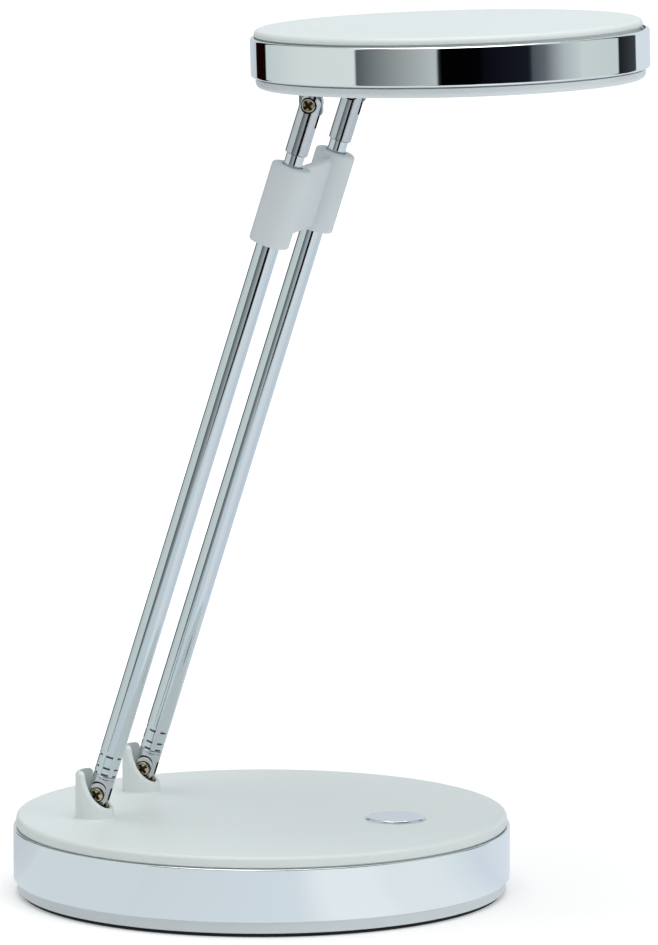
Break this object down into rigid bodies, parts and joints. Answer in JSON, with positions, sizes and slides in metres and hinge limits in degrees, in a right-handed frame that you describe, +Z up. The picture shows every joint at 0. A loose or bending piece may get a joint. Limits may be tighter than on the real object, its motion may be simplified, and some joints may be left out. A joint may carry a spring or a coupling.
{
  "type": "desk lamp",
  "caption": "Desk lamp with a round weighted base, twin telescopic arms on hinges, a tilting flat round LED head and a push button on the base.",
  "frame": {"origin": "centre of the underside of the foot pad", "axes": "+Z up, +X from the lower hinge axis towards the button, +Y along the hinge axes"},
  "size_m": [0.1927, 0.15, 0.2658],
  "materials": {
    "cover_plastic": "satin moulded ABS, pale grey-white",
    "housing_plastic": "smooth moulded ABS, light grey",
    "block_plastic": "satin moulded ABS, pale grey",
    "ring_chrome": "bright plated ring",
    "tube_chrome": "bright plated tube",
    "screw_nickel": "yellowish passivated steel",
    "screw_steel": "plain zinc-plated steel",
    "lug_brass": "stamped brass",
    "bush_plastic": "natural acetal",
    "pad_rubber": "black foam rubber",
    "ballast_iron": "cast iron disc",
    "black_plastic": "black moulded plastic",
    "board_green": "circuit board",
    "board_white": "white circuit board",
    "diffuser_opal": "opal light diffuser",
    "reflector_white": "white reflector",
    "led_yellow": "phosphor-coated LED",
    "spreader_aluminium": "plain aluminium sheet",
    "wire_red": "insulated wire"
  },
  "bodies": {
    "base": {"base_cover": "cover_plastic", "base_ring": "ring_chrome", "base_housing": "housing_plastic", "foot_pad": "pad_rubber", "ballast_weight": "ballast_iron", "control_board": "board_green", "board_components": "black_plastic", "tact_switch": "black_plastic", "dc_inlet": "black_plastic", "base_lug_front": "lug_brass", "base_lug_rear": "lug_brass", "base_lug_screws": "screw_steel", "base_housing_screws": "screw_steel", "ballast_screws": "screw_steel", "board_screws": "screw_steel", "base_lead_wires": "wire_red", "button_spring": "screw_steel"},
    "button": {"power_button": "ring_chrome"},
    "lower_arm": {"lower_fork_front": "tube_chrome", "lower_fork_rear": "tube_chrome", "outer_tube_front": "tube_chrome", "outer_tube_rear": "tube_chrome", "base_pivot_screws": "screw_nickel", "base_pivot_nuts": "screw_nickel", "base_pivot_washers": "bush_plastic", "cross_block": "block_plastic", "guide_bushes": "bush_plastic"},
    "upper_arm": {"inner_tube_front": "tube_chrome", "inner_tube_rear": "tube_chrome", "slider_bushes": "bush_plastic", "upper_fork_front": "tube_chrome", "upper_fork_rear": "tube_chrome", "head_pivot_screws": "screw_nickel", "head_pivot_nuts": "screw_nickel", "head_pivot_washers": "bush_plastic"},
    "head": {"head_cover": "cover_plastic", "head_ring": "ring_chrome", "head_housing": "housing_plastic", "diffuser": "diffuser_opal", "reflector": "reflector_white", "led_board": "board_white", "led_chips": "led_yellow", "heat_spreader": "spreader_aluminium", "head_lug_front": "tube_chrome", "head_lug_rear": "tube_chrome", "head_lug_screws": "screw_steel", "spreader_screws": "screw_steel", "head_housing_screws": "screw_steel", "head_lead_wires": "wire_red"}
  },
  "joints": [
    {"name": "arm_tilt", "type": "hinge", "parent": "base", "child": "lower_arm", "pos_m": [-0.044, 0, 0.0316], "axis": [0, 1, 0], "range_deg": [-17.6, 72.4]},
    {"name": "telescope", "type": "slide", "parent": "lower_arm", "child": "upper_arm", "axis": [0.3024, 0, 0.9532], "range_m": [-0.003, 0.105]},
    {"name": "head_tilt", "type": "hinge", "parent": "upper_arm", "child": "head", "pos_m": [0.0224, 0, 0.24092], "axis": [0, 1, 0], "range_deg": [-50, 90]},
    {"name": "button_press", "type": "slide", "parent": "base", "child": "button", "axis": [0, 0, -1], "range_m": [0, 0.0007], "stiffness_N_per_m": 400, "springref_m": -0.002, "deforming": ["button_spring"]}
  ]
}
